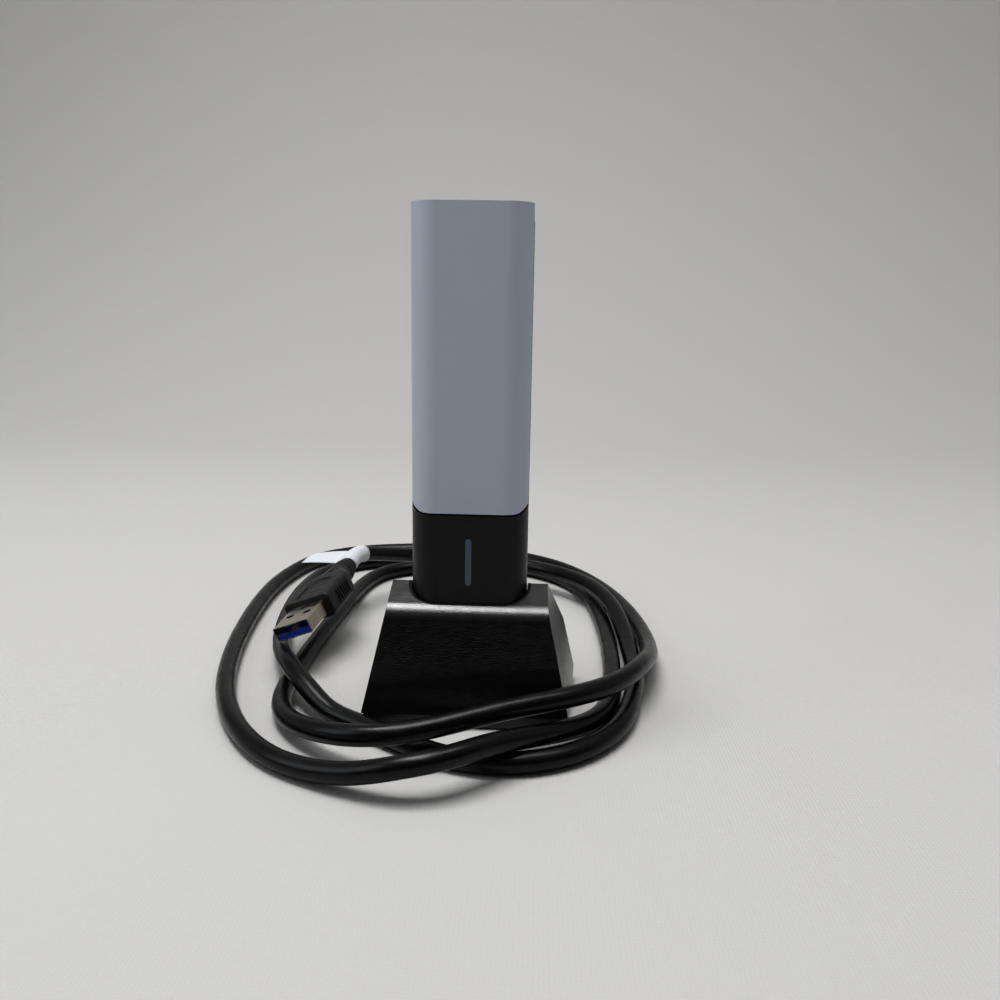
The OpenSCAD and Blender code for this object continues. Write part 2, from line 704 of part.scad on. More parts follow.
function ahead(i) = unit(path[min(i + 1, len(path) - 1)] - path[max(i - 1, 0)]);
function first_up(t) = unit(cross(cross(t, [0, 0, 1]), t));
function ring(p, t, r, n) = let (u = first_up(t), v = cross(t, u))
  [for (k = [0:n - 1]) p + r * (cos(360 * k / n) * u + sin(360 * k / n) * v)];
function ends(i) = i == 0 ? [0, 1, 0] : i == len(path) - 1 ? unit(path[i] - path[i - 1]) : ahead(i);
function wall(m, n) = [for (i = [0:m - 2], k = [0:n - 1]) let (a = i * n + k, b = i * n + (k + 1) % n)
  each [[a, b, b + n], [a, b + n, a + n]]];

module tube(from, to, r, n) {
  m = to - from + 1;
  pts = [for (i = [from:to]) each ring(path[i], ends(i), r, n)];
  polyhedron(pts, concat([[for (k = [0:n - 1]) k]], [[for (k = [n - 1:-1:0]) (m - 1) * n + k]],
                         [for (f = wall(m, n)) [f[0], f[2], f[1]]]));
}

module cord() { color([0.05, 0.05, 0.05]) tube(0, len(path) - 1, cord_r, 10); }

module cord_label() {
  color([0.95, 0.95, 0.93]) at_plug() difference() {
    union() {
      translate([0, 0, plug_end + 1]) cylinder(r = cord_r + 0.35, h = 10);
      box([-cord_r - 14, -cord_r], [-0.3, 0.3], [plug_end + 1, plug_end + 11]);
    }
    translate([0, 0, plug_end]) cylinder(r = cord_r, h = 12);
  }
}

cradle_shell();
well_liner();
cradle_plinth();
foot_pad();
ballast_plate();
plinth_screws();
socket_shell();
socket_tongue();
socket_contacts();
socket_board();
board_screws();
cord_gland();
cord_clamp();
inner_wires();
rear_housing();
front_housing();
light_pipe();
main_board();
shield_can();
radio_chip();
thermal_pad();
heat_plate();
status_led();
lead_sockets();
radio_leads();
plug_shell();
plug_insert();
plug_contacts();
housing_screws();
antenna_cover();
antenna_back();
antenna_board();
antenna_patches();
antenna_leads();
antenna_screws();
hinge_pins();
hinge_washers();
cord();
cord_plug_grip();
cord_plug_shell();
cord_plug_insert();
cord_plug_contacts();
cord_relief();
cord_label();
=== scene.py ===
# A USB wireless adapter: a slim stick with a fold-up antenna flap, standing in a
# weighted desk cradle, with the cradle's cord lying round it in three loose turns.
import bmesh
import bpy
import math
from mathutils import Matrix, Vector


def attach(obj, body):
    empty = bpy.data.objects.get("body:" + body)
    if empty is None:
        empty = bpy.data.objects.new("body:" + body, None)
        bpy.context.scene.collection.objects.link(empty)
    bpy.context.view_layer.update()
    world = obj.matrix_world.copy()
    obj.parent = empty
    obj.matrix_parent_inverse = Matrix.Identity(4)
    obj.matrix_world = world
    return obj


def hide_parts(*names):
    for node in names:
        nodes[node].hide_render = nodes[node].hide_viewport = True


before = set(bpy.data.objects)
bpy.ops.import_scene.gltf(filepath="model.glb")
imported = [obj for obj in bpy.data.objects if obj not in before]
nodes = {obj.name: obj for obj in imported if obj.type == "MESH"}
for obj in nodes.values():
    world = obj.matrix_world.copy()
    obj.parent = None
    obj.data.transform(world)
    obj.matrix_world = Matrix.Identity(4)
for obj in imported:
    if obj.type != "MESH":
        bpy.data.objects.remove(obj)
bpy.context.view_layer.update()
mm = 0.001

# ---- The room -------------------------------------------------------------
# A close view from a hand's height in front of the stick, over a pale cotton
# cloth that runs on up behind it. Light falls softly from above and behind.
camera_data = bpy.data.cameras.new("camera")
camera_data.lens = 31.8
camera_data.sensor_width = 36.0
camera = bpy.data.objects.new("camera", camera_data)
stand = Vector((16.4, -234.4, 109.5)) * mm
bpy.context.scene.collection.objects.link(camera)
bpy.context.scene.camera = camera
look_down, look_left, tip = math.radians(12.2), math.radians(2.07), 0.0159
ahead = Vector((-math.sin(look_left) * math.cos(look_down),
                math.cos(look_left) * math.cos(look_down), -math.sin(look_down)))
across = Vector((math.cos(look_left), math.sin(look_left), 0))
below = ahead.cross(across)
right = (across - tip * below).normalized()
up = right.cross(ahead)
camera.matrix_world = Matrix(((right.x, up.x, -ahead.x, stand.x),
                              (right.y, up.y, -ahead.y, stand.y),
                              (right.z, up.z, -ahead.z, stand.z), (0, 0, 0, 1)))


def hex_colour(text):
    """An sRGB hex colour as the linear values that a shader takes."""
    parts = [int(text[i:i + 2], 16) / 255 for i in (1, 3, 5)]
    linear = [p / 12.92 if p <= 0.04045 else ((p + 0.055) / 1.055) ** 2.4 for p in parts]
    return (*linear, 1.0)


def add(tree, kind, links=None, **settings):
    """A node of that kind, with its settings, and its inputs set or linked."""
    new = tree.nodes.new(kind)
    for key, value in settings.items():
        setattr(new, key, value)
    for key, value in (links or {}).items():
        if isinstance(value, bpy.types.NodeSocket):
            tree.links.new(value, new.inputs[key])
        else:
            new.inputs[key].default_value = value
    return new


def finish_of(name, colour, roughness, metallic=0.0, **sockets):
    """A new material with one principled shader, and its tree and shader."""
    material = bpy.data.materials.new(name)
    material.use_nodes = True
    shader = material.node_tree.nodes["Principled BSDF"]
    shader.inputs["Base Color"].default_value = hex_colour(colour)
    shader.inputs["Roughness"].default_value = roughness
    shader.inputs["Metallic"].default_value = metallic
    for key, value in sockets.items():
        shader.inputs[key.replace("_", " ")].default_value = value
    return material, material.node_tree, shader


def mesh_object(name, vertices, faces):
    """A new object at the origin with that mesh, in metres."""
    mesh = bpy.data.meshes.new(name)
    mesh.from_pydata([tuple(v) for v in vertices], [], faces)
    mesh.validate()
    piece = bpy.data.objects.new(name, mesh)
    bpy.context.scene.collection.objects.link(piece)
    return piece


# Cotton cloth: a matt plain weave. Its threads are drawn 0.9 mm apart, coarser than
# the real ones, so that they show.
cloth, tree, shader = finish_of("woven_cotton", "#B7B6B4", 0.9, Sheen_Weight=0.2)
place = add(tree, "ShaderNodeTexCoord").outputs["Object"]
warp = add(tree, "ShaderNodeTexWave", {"Vector": place, "Scale": 350.0, "Distortion": 1.2,
                                       "Detail": 2.0, "Detail Scale": 2.0}, bands_direction="X")
weft = add(tree, "ShaderNodeTexWave", {"Vector": place, "Scale": 350.0, "Distortion": 1.2,
                                       "Detail": 2.0, "Detail Scale": 2.0}, bands_direction="Y")
weave = add(tree, "ShaderNodeMath", {0: warp.outputs["Fac"], 1: weft.outputs["Fac"]}, operation="ADD")
folds = add(tree, "ShaderNodeTexNoise", {"Vector": place, "Scale": 9.0, "Detail": 3.0})
relief = add(tree, "ShaderNodeBump", {"Height": weave.outputs[0], "Distance": 0.0001, "Strength": 0.25})
soft = add(tree, "ShaderNodeBump", {"Height": folds.outputs["Fac"], "Distance": 0.012, "Strength": 0.16,
                                    "Normal": relief.outputs["Normal"]})
tree.links.new(soft.outputs["Normal"], shader.inputs["Normal"])

flat_to, rise_by, cloth_half = 0.45, 0.5, 1.9
sweep = [(-1.6, 0.0), (flat_to, 0.0)]
sweep += [(flat_to + rise_by * math.sin(a), rise_by - rise_by * math.cos(a))
          for a in [k * math.pi / 32 for k in range(1, 17)]]
sweep += [(flat_to + rise_by, 2.2)]
floor = mesh_object("floor_cloth", [(x, y, z) for y, z in sweep for x in (-cloth_half, cloth_half)],
                    [(2 * i, 2 * i + 1, 2 * i + 3, 2 * i + 2) for i in range(len(sweep) - 1)])
floor.data.materials.append(cloth)
floor.data.shade_smooth()


def lamp(name, at, aim, size, power, colour="#FFFFFF"):
    """A soft rectangular light at a point, turned to face another."""
    data = bpy.data.lights.new(name, "AREA")
    data.shape, data.size, data.size_y = "RECTANGLE", size[0], size[1]
    data.energy, data.color = power, hex_colour(colour)[:3]
    light = bpy.data.objects.new(name, data)
    light.location = at
    light.rotation_euler = (Vector(aim) - Vector(at)).to_track_quat("-Z", "Y").to_euler()
    bpy.context.scene.collection.objects.link(light)


lamp("ceiling_light", (-0.12, -0.10, 0.90), (0, 0.02, 0), (0.55, 0.26), 5.0)
lamp("backdrop_wash", (0.0, 0.15, 1.75), (0, 0.95, 0.75), (1.8, 0.4), 13.0)
lamp("window_left", (-0.85, -0.30, 0.55), (0, 0.0, 0.05), (0.5, 0.6), 1.6, "#F4F8FF")

# The room beyond is pale overhead and behind, and dark in front, where the viewer
# stands.
room = bpy.data.worlds.new("room")
room.use_nodes = True
tree = room.node_tree
toward = add(tree, "ShaderNodeSeparateXYZ", {0: add(tree, "ShaderNodeTexCoord").outputs["Generated"]})
behind = add(tree, "ShaderNodeMapRange", {"Value": toward.outputs["Y"], "From Min": -0.6, "From Max": 0.5,
                                          "To Min": 0.03, "To Max": 0.38})
over = add(tree, "ShaderNodeMapRange", {"Value": toward.outputs["Z"], "From Min": 0.25, "From Max": 1.0,
                                        "To Min": 0.0, "To Max": 0.25})
level = add(tree, "ShaderNodeMath", {0: behind.outputs["Result"], 1: over.outputs["Result"]},
            operation="ADD")
tree.links.new(level.outputs[0], tree.nodes["Background"].inputs["Strength"])
tree.nodes["Background"].inputs["Color"].default_value = hex_colour("#F1F2F4")
bpy.context.scene.world = room
bpy.context.scene.view_settings.view_transform = "Standard"
bpy.context.scene.view_settings.look = "Medium High Contrast"

# ---- The cord --------------------------------------------------------------
# A round shielded cable, 5.5 mm across in satin black jacket. It leaves the back
# of the cradle, lies in three turns round it, and climbs onto them at its plug.
cord_r = 2.75 * mm
route = [
    (0, 27, 9), (0, 40, 7), (0, 60, 3), (0, 85, 3), (-3, 104, 3), (-12, 118, 3), (-26, 122, 3),
    (-40, 116, 3), (-48, 102, 3), (-50.5, 76, 3), (-52, 42, 3), (-52.6, 15, 3), (-52.4, -6, 3),
    (-47, -23, 4), (-34, -36, 7), (-20, -41, 9), (-7, -38, 10), (8, -32, 12), (20, -28, 13),
    (31, -22, 13), (42, -11, 12), (50, 6, 11), (55, 29, 5), (54.5, 60, 3), (48, 91, 3),
    (34, 121, 3), (15, 138, 3), (-8, 148, 3), (-36, 149, 3), (-60, 142, 3), (-76, 128, 3),
    (-82, 102, 3), (-83, 76, 3), (-78, 30, 3), (-68, -10, 3), (-52, -36, 3), (-38, -46, 3),
    (-24, -52, 5), (-12, -55, 9), (-1, -52, 10), (9, -43, 9.6), (23, -31.5, 6.6),
    (33.5, -19.5, 3.8), (40, -5, 3), (42, 16, 3), (43, 47, 3), (40.5, 84, 3), (34.5, 103, 3),
    (25, 116, 3), (11, 125, 3), (-10, 130, 3), (-38, 131, 3), (-57, 125, 3), (-68, 109, 3),
    (-70.5, 84, 3), (-68, 56, 3.6), (-63.5, 33, 4.6), (-57, 12, 8), (-49.8, -3, 9.3),
    (-42, -12, 6.2), (-35.5, -17.5, 3), (-25, -24, 3), (-10, -35, 3), (2, -40.5, 3),
    (15, -40.5, 3), (29, -35, 3), (41, -21, 3), (46, -3, 3), (49, 14, 3), (49, 32, 3),
    (48, 52, 6), (43, 75, 9.6), (29, 98, 9), (8, 110, 9), (-14, 109, 11), (-30, 97, 15),
    (-40.5, 83.5, 19)]
plug_turn = (Matrix.Rotation(math.radians(-7), 4, "Z") @ Matrix.Rotation(math.radians(6), 4, "X")
             @ Matrix.Rotation(math.radians(-22), 4, "Y") @ Matrix.Rotation(math.radians(-90), 4, "X"))
plug_place = Matrix.Translation(Vector((-53.9, 12.8, 14.6)) * mm) @ plug_turn
plug_end = 50
points = [Vector(p) * mm for p in route]
points += [plug_place @ Vector((0, 0, (plug_end + 12) * mm)), plug_place @ Vector((0, 0, plug_end * mm))]


def through(points, steps):
    """A smooth line through the points, with that many steps to each."""
    line = []
    for i in range(len(points) - 1):
        a, b = points[max(i - 1, 0)], points[i]
        c, d = points[i + 1], points[min(i + 2, len(points) - 1)]
        for k in range(steps):
            t = k / steps
            line.append(0.5 * (2 * b + (c - a) * t + (2 * a - 5 * b + 4 * c - d) * t * t
                               + (3 * b - a - 3 * c + d) * t ** 3))
    return line + [points[-1]]


def eased(line, rounds, held):
    """The same line with its small kinks relaxed, but for a few points at each end."""
    for _ in range(rounds):
        line = [p if i < held or i >= len(line) - held else 0.5 * p + 0.25 * (line[i - 1] + line[i + 1])
                for i, p in enumerate(line)]
    return line


cord_line = eased(through(points, steps=6), rounds=14, held=8)
for p in cord_line:
    p.z = max(p.z, cord_r)
curve = bpy.data.curves.new("cord_jacket", "CURVE")
curve.dimensions = "3D"
curve.bevel_depth = cord_r
curve.bevel_resolution = 6
curve.use_fill_caps = True
spline = curve.splines.new("POLY")
spline.points.add(len(cord_line) - 1)
for point, p in zip(spline.points, cord_line):
    point.co = (*p, 1)
spline.use_smooth = True
cord = bpy.data.objects.new("cord_jacket", curve)
bpy.context.scene.collection.objects.link(cord)

# Extruded PVC: smooth and satin, with the faint ripple of the wires twisted under it.
jacket, tree, shader = finish_of("extruded_pvc", "#040405", 0.28, IOR=1.36)
place = add(tree, "ShaderNodeTexCoord").outputs["Object"]
ripple = add(tree, "ShaderNodeTexNoise", {"Vector": place, "Scale": 160.0, "Detail": 2.0})
grain = add(tree, "ShaderNodeTexNoise", {"Vector": place, "Scale": 2600.0, "Detail": 2.0})
rough = add(tree, "ShaderNodeMapRange", {"Value": ripple.outputs["Fac"], "From Min": 0.3, "From Max": 0.7,
                                         "To Min": 0.25, "To Max": 0.36})
tree.links.new(rough.outputs["Result"], shader.inputs["Roughness"])
relief = add(tree, "ShaderNodeBump", {"Height": ripple.outputs["Fac"], "Distance": 0.0004, "Strength": 0.3})
relief = add(tree, "ShaderNodeBump", {"Height": grain.outputs["Fac"], "Distance": 0.00004, "Strength": 0.4,
                                      "Normal": relief.outputs["Normal"]})
tree.links.new(relief.outputs["Normal"], shader.inputs["Normal"])
curve.materials.append(jacket)
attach(cord, "cradle")
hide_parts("cord")


# ---- The cord's plug ---------------------------------------------------------
# Lengths along the plug run from its mouth, at 0, to its cord; across it, x is
# its width and y its thickness, with y negative on the side that lies uppermost.
def on_plug(x, y, z):
    """A point of the plug, in millimetres, in its place."""
    return plug_place @ Vector((x * mm, y * mm, z * mm))


def worn_by(material, tree, shader, scale, low, high, depth, coarse=0.0):
    """Varies a material's roughness between two values over broad patches, and
    gives it a grain with that many grains to the metre and of that depth in
    metres. A coarse depth adds the slow waviness of a large moulded face."""
    place = add(tree, "ShaderNodeTexCoord").outputs["Object"]
    patches = add(tree, "ShaderNodeTexNoise", {"Vector": place, "Scale": scale / 8, "Detail": 3.0})
    spread = add(tree, "ShaderNodeMapRange", {"Value": patches.outputs["Fac"], "From Min": 0.35,
                                              "From Max": 0.65, "To Min": low, "To Max": high})
    tree.links.new(spread.outputs["Result"], shader.inputs["Roughness"])
    grain = add(tree, "ShaderNodeTexNoise", {"Vector": place, "Scale": scale, "Detail": 2.0})
    bump = add(tree, "ShaderNodeBump", {"Height": grain.outputs["Fac"], "Distance": depth, "Strength": 1.0})
    if coarse:
        wave = add(tree, "ShaderNodeTexNoise", {"Vector": place, "Scale": scale / 20, "Detail": 1.0})
        bump = add(tree, "ShaderNodeBump", {"Height": wave.outputs["Fac"], "Distance": coarse,
                                            "Strength": 1.0, "Normal": bump.outputs["Normal"]})
    tree.links.new(bump.outputs["Normal"], shader.inputs["Normal"])
    return material


# The grip is one overmoulding of soft PVC: square at the shell, ribbed at its
# narrow sides, drawn in to the cord, with a shallow bare panel in its upper face.
# The soft plastic gives it a dull black with a fine tooth.
grip_skin = worn_by(*finish_of("overmoulded_pvc", "#0A0A0B", 0.5), 3200.0, 0.42, 0.6, 0.03 * mm, 0.05 * mm)
panel_half, panel_from, panel_to, panel_sunk = 4.6, 17.2, 31.2, 0.4


def keep_flats_flat(piece):
    """Leans a piece's normals to its large faces, so that rounds alone look round."""
    flats = piece.modifiers.new("flats_shade_flat", "WEIGHTED_NORMAL")
    flats.weight, flats.keep_sharp = 100, True


def grip_ring(half_x, half_y, round_by, z):
    """A rounded rectangle's outline at z, with points held at the panel's sides."""
    inner_x, inner_y = half_x - round_by, half_y - round_by
    past_panel = panel_half + 0.15
    flat = [-inner_x, -past_panel, -panel_half, -3.0, -1.5, 0, 1.5, 3.0, panel_half, past_panel, inner_x]
    flat = sorted(min(max(x, -inner_x), inner_x) for x in flat)
    ring = [(x, -half_y, z) for x in flat]
    for turn, cx, cy in ((-90, inner_x, -inner_y), (0, inner_x, inner_y)):
        for k in range(1, 8):
            a = math.radians(turn + 90 * k / 8)
            ring.append((cx + round_by * math.cos(a), cy + round_by * math.sin(a), z))
        if turn == -90:
            ring += [(half_x, y, z) for y in (-inner_y, -inner_y / 2, 0, inner_y / 2, inner_y)]
    ring += [(x, half_y, z) for x in reversed(flat)]
    for turn, cx, cy in ((90, -inner_x, inner_y), (180, -inner_x, -inner_y)):
        for k in range(1, 8):
            a = math.radians(turn + 90 * k / 8)
            ring.append((cx + round_by * math.cos(a), cy + round_by * math.sin(a), z))
        if turn == 90:
            ring += [(-half_x, y, z) for y in (inner_y, inner_y / 2, 0, -inner_y / 2, -inner_y)]
    return ring


levels = [14, 14.1, 14.25, 14.5, 15.5, 16.5, 17.1, 17.25, 20, 23, 26, 28, 29, 30, 31.1, 31.25,
          32, 33, 34, 35, 36, 37, 38, 39, 40, 40.4, 40.7, 40.9, 41]
lip_starts, taper_starts, taper_length, tail_starts = 14.5, 31.5, 9.5, 40.4
rings = []
for z in levels:
    lip = 0.5 - math.sqrt(max(0.0, 0.25 - (lip_starts - z) ** 2)) if z < lip_starts else 0.0
    lip = lip if z < tail_starts else 0.6 - math.sqrt(max(0.0, 0.36 - (z - tail_starts) ** 2))
    taper = 0.0 if z < taper_starts else (z - taper_starts) / taper_length
    taper = taper * taper * (3 - 2 * taper)
    ring = grip_ring(8.0 - 3.3 * taper - lip, 4.0 - 0.15 * taper - lip, 1.5 + 2.1 * taper - lip * 0.6, z)
    bound = panel_half if z < 27 else panel_half - 0.7 * (z - 27)
    rings.append([(x, y + panel_sunk, z) if y < -3.99 and abs(x) < bound + 0.05
                  and panel_from < z < panel_to else (x, y, z) for x, y, z in ring])
size = len(rings[0])
grip_points = [on_plug(*p) for ring in rings for p in ring]
grip_faces = [(size * j + i, size * j + (i + 1) % size, size * (j + 1) + (i + 1) % size, size * (j + 1) + i)
              for j in range(len(rings) - 1) for i in range(size)]
grip_faces += [tuple(reversed(range(size))), tuple(range(size * (len(rings) - 1), size * len(rings)))]
grip = mesh_object("plug_grip", grip_points, grip_faces)
grip.data.shade_smooth()
grip.data.set_sharp_from_angle(angle=math.radians(38))
grip.data.materials.append(grip_skin)
keep_flats_flat(grip)
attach(grip, "cradle")
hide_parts("cord_plug_grip")

# Its ribs: six low bars on each narrow side, repeated along the grip. They are
# of the same soft PVC and stand 0.45 mm proud.
rib_length, rib_width, rib_depth = 4.4 * mm, 0.8 * mm, 0.9 * mm
bars = bpy.data.node_groups.new("grip_rib_row", "GeometryNodeTree")
bars.interface.new_socket(name="Geometry", in_out="OUTPUT", socket_type="NodeSocketGeometry")
rib_inputs = {}
for label, kind, value in (("Count", "NodeSocketInt", 6), ("Pitch", "NodeSocketFloat", 1.75 * mm)):
    socket = bars.interface.new_socket(name=label, in_out="INPUT", socket_type=kind)
    rib_inputs[socket.identifier] = value
given = bars.nodes.new("NodeGroupInput")
step = add(bars, "ShaderNodeCombineXYZ", {"Z": given.outputs["Pitch"]})
row = add(bars, "GeometryNodeMeshLine", {"Count": given.outputs["Count"], "Offset": step.outputs["Vector"]})
block = add(bars, "GeometryNodeMeshCube", {"Size": (rib_depth, rib_length, rib_width)})
copies = add(bars, "GeometryNodeInstanceOnPoints", {"Points": row.outputs["Mesh"],
                                                    "Instance": block.outputs["Mesh"]})
real = add(bars, "GeometryNodeRealizeInstances", {"Geometry": copies.outputs["Instances"]})
coat = add(bars, "GeometryNodeSetMaterial", {"Geometry": real.outputs["Geometry"], "Material": grip_skin})
result = bars.nodes.new("NodeGroupOutput")
bars.links.new(coat.outputs["Geometry"], result.inputs["Geometry"])
side_face, first_rib = 8.0, 20.5
for side, where in ((-1, "left"), (1, "right")):
    seed = mesh_object("rib_seed", [(0, 0, 0)], [])
    modifier = seed.modifiers.new("row", "NODES")
    modifier.node_group = bars
    for identifier, value in rib_inputs.items():
        modifier[identifier] = value
    bpy.context.view_layer.update()
    shape = bpy.data.meshes.new_from_object(seed.evaluated_get(bpy.context.evaluated_depsgraph_get()))
    bpy.data.objects.remove(seed)
    shape.transform(plug_place @ Matrix.Translation(Vector((side * side_face, 0, first_rib)) * mm))
    ribs = bpy.data.objects.new("grip_ribs_" + where, shape)
    bpy.context.scene.collection.objects.link(ribs)
    bm = bmesh.new()
    bm.from_mesh(shape)
    bmesh.ops.remove_doubles(bm, verts=bm.verts, dist=0.001 * mm)
    bmesh.ops.bevel(bm, geom=list(bm.edges), offset=0.2 * mm, offset_type="OFFSET", segments=3,
                    profile=0.5, affect="EDGES", clamp_overlap=True)
    bm.to_mesh(shape)
    bm.free()
    shape.shade_smooth()
    shape.materials.clear()
    shape.materials.append(grip_skin)
    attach(ribs, "cradle")

# The relief is the collar behind the grip, turned round the cord and moulded with
# three grooves, so that it bends with the cord instead of kinking it.
relief_profile = [(2.6, 37.5), (4.1, 37.5), (4.3, 40.6), (4.3, 41.4), (4.15, 42.0), (4.2, 43.2), (4.2, 43.5),
                  (3.6, 43.7), (3.6, 44.2), (4.05, 44.4), (4.0, 45.6), (3.4, 45.8), (3.4, 46.3),
                  (3.8, 46.5), (3.75, 47.6), (3.2, 47.8), (3.2, 48.3), (3.5, 48.5), (3.4, 49.6),
                  (3.15, 50.0), (2.8, 50.0)]
count, sides = len(relief_profile), 48
turned = [on_plug(r * math.cos(2 * math.pi * i / sides), r * math.sin(2 * math.pi * i / sides), z)
          for r, z in relief_profile for i in range(sides)]
turned_faces = [(sides * j + i, sides * j + (i + 1) % sides,
                 sides * ((j + 1) % count) + (i + 1) % sides, sides * ((j + 1) % count) + i)
                for j in range(count) for i in range(sides)]
relief_piece = mesh_object("plug_relief", turned, turned_faces)
relief_piece.data.shade_smooth()
relief_piece.data.set_sharp_from_angle(angle=math.radians(40))
relief_piece.data.materials.append(grip_skin)
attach(relief_piece, "cradle")
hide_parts("cord_relief")


def merge(bm):
    """Joins a mesh's doubled points, and the triangles of each flat face."""
    bmesh.ops.remove_doubles(bm, verts=bm.verts, dist=0.002 * mm)
    bmesh.ops.dissolve_limit(bm, angle_limit=math.radians(0.4), verts=bm.verts, edges=bm.edges)


def softened(node, name, body, material, width, first=None, first_width=0.0, within=None):
    """A copy of a node's mesh, merged, with its edges rounded over as a mould
    leaves them. It is first cut to lie within another mesh, if one is given, and
    edges for which first(a, b) holds are rounded by a width of their own."""
    bm = bmesh.new()
    bm.from_mesh(nodes[node].data)
    merge(bm)
    mesh = bpy.data.meshes.new(name)
    bm.to_mesh(mesh)
    piece = bpy.data.objects.new(name, mesh)
    bpy.context.scene.collection.objects.link(piece)
    if within:
        cut = piece.modifiers.new("profile", "BOOLEAN")
        cut.operation, cut.solver, cut.object = "INTERSECT", "EXACT", within
        bpy.context.view_layer.update()
        kept = bpy.data.meshes.new_from_object(piece.evaluated_get(bpy.context.evaluated_depsgraph_get()))
        piece.modifiers.remove(cut)
        bpy.data.objects.remove(within)
        bm.clear()
        bm.from_mesh(kept)
        bpy.data.meshes.remove(kept)
        merge(bm)
    crease = math.radians(28)
    if first:
        chosen = [e for e in bm.edges if e.calc_face_angle(0) > crease
                  and first(e.verts[0].co, e.verts[1].co)]
        bmesh.ops.bevel(bm, geom=chosen, offset=first_width, offset_type="OFFSET", segments=4,
                        profile=0.5, affect="EDGES", clamp_overlap=True)
    chosen = [e for e in bm.edges if e.calc_face_angle(0) > crease]
    bmesh.ops.bevel(bm, geom=chosen, offset=width, offset_type="OFFSET", segments=3,
                    profile=0.5, affect="EDGES", clamp_overlap=True)
    bmesh.ops.recalc_face_normals(bm, faces=bm.faces)
    bm.to_mesh(mesh)
    bm.free()
    mesh.shade_smooth()
    mesh.set_sharp_from_angle(angle=math.radians(34))
    mesh.materials.clear()
    mesh.materials.append(material)
    keep_flats_flat(piece)
    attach(piece, body)
    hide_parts(node)
    return piece


# The shell is stamped from nickel-plated steel and rolled round to a seam below;
# two holes in its upper face catch a socket's springs. Nickel plate is a warm
# grey metal, and a little scuffed from use.
nickel = worn_by(*finish_of("plated_nickel", "#B9B2A4", 0.3, 1.0), 1800.0, 0.22, 0.4, 0.004 * mm, 0.01 * mm)
plug_shell = softened("cord_plug_shell", "plug_tongue_shell", "cradle", nickel, 0.08 * mm)


def dress(material, *names):
    """Puts a material on those CAD nodes, which are shown as they are."""
    for name in names:
        nodes[name].data.materials.clear()
        nodes[name].data.materials.append(material)


# The insert is moulded nylon, a deep waxy blue as on every plug of this speed, and
# the contacts are gold-flashed strips let into it, with the gloss of rolled metal.
blue = worn_by(*finish_of("blue_nylon", "#1B3F9C", 0.42), 2400.0, 0.35, 0.5, 0.01 * mm)
gold = worn_by(*finish_of("flashed_gold", "#B98F45", 0.25, 1.0), 2400.0, 0.2, 0.35, 0.003 * mm)
dress(blue, "cord_plug_insert", "plug_insert", "socket_tongue")
dress(gold, "cord_plug_contacts", "plug_contacts", "socket_contacts")

# A paper label is wrapped once round the cord behind the relief and stuck to
# itself, which leaves a flag that leans out over the turns. It is blank, matt and
# white, and droops a little toward its far corner.
paper = worn_by(*finish_of("label_paper", "#C6C9CE", 0.75), 1500.0, 0.65, 0.85, 0.02 * mm)
label_from, label_to = 0.6 * mm, 16.0 * mm
back_from_plug = list(reversed(cord_line))
spots, run = [], 0.0
for here, beyond in zip(back_from_plug, back_from_plug[1:]):
    run += (beyond - here).length
    if label_from < run < label_to:
        spots.append((beyond, (beyond - here).normalized()))
wrap_r, flag_root, flag_length, droop = 2.95, -2.9, 14, 2.6
wrap = [(wrap_r * math.cos(a), wrap_r * math.sin(a))
        for a in [math.radians(200 - 10 * k) for k in range(33)]]
flag = [(flag_root - k, 0.3 - 0.05 * k - 0.006 * k * k) for k in range(1, flag_length + 1)]
flag_line = list(reversed(flag)) + [(flag_root, 0.9)] + wrap[2:]
label_points = []
for j, (spot, along) in enumerate(spots):
    out = Vector((-1, 0.15, 0.12))
    out = (out - out.dot(along) * along).normalized()
    rise = along.cross(out)
    rise *= 1 if rise.z > 0 else -1
    for x, y in flag_line:
        y -= max(0.0, flag_root - x) / flag_length * droop * j / len(spots)
        label_points.append(spot + (-x * out + y * rise) * mm)
width_count = len(flag_line)
label_faces = [(width_count * j + i, width_count * j + i + 1, width_count * (j + 1) + i + 1,
                width_count * (j + 1) + i) for j in range(len(spots) - 1) for i in range(width_count - 1)]
label = mesh_object("cord_label_paper", label_points, label_faces)
thick = label.modifiers.new("two_plies", "SOLIDIFY")
thick.thickness = 0.16 * mm
thick.offset = 0.0
label.data.shade_smooth()
label.data.materials.append(paper)
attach(label, "cradle")
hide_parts("cord_label")

# ---- The cradle --------------------------------------------------------------
# One moulding of ABS, sunk at its crest for the stick, and spark-eroded all over
# so that its rounded bend glitters where the light catches it.
cradle_skin = worn_by(*finish_of("spark_eroded_abs", "#050506", 0.3, IOR=1.72),
                      2600.0, 0.21, 0.27, 0.05 * mm)
front_foot, bend_at = Vector((-18.5, 4.0)), Vector((-11.5, 30.7))
crest, back_edge = Vector((0, 35.7)), Vector((18.5, 19.0))
under_foot, past_side = 3.0, 60
bend = [(front_foot.x, under_foot), (front_foot.x, front_foot.y)]
for corner, before, after, round_by, steps in ((bend_at, front_foot, crest, 6.5, 14),
                                               (crest, bend_at, back_edge, 1.6, 6)):
    into, out = (before - corner).normalized(), (after - corner).normalized()
    half = math.acos(into.dot(out)) / 2
    centre = corner + (into + out).normalized() * (round_by / math.sin(half))
    start = corner + into * (round_by / math.tan(half)) - centre
    end = corner + out * (round_by / math.tan(half)) - centre
    sweep_by = start.angle_signed(end)
    for k in range(steps + 1):
        a = -sweep_by * k / steps
        bend.append((centre.x + start.x * math.cos(a) - start.y * math.sin(a),
                     centre.y + start.x * math.sin(a) + start.y * math.cos(a)))
bend += [(18.6, 18.95), (18.6, under_foot)]
count = len(bend)
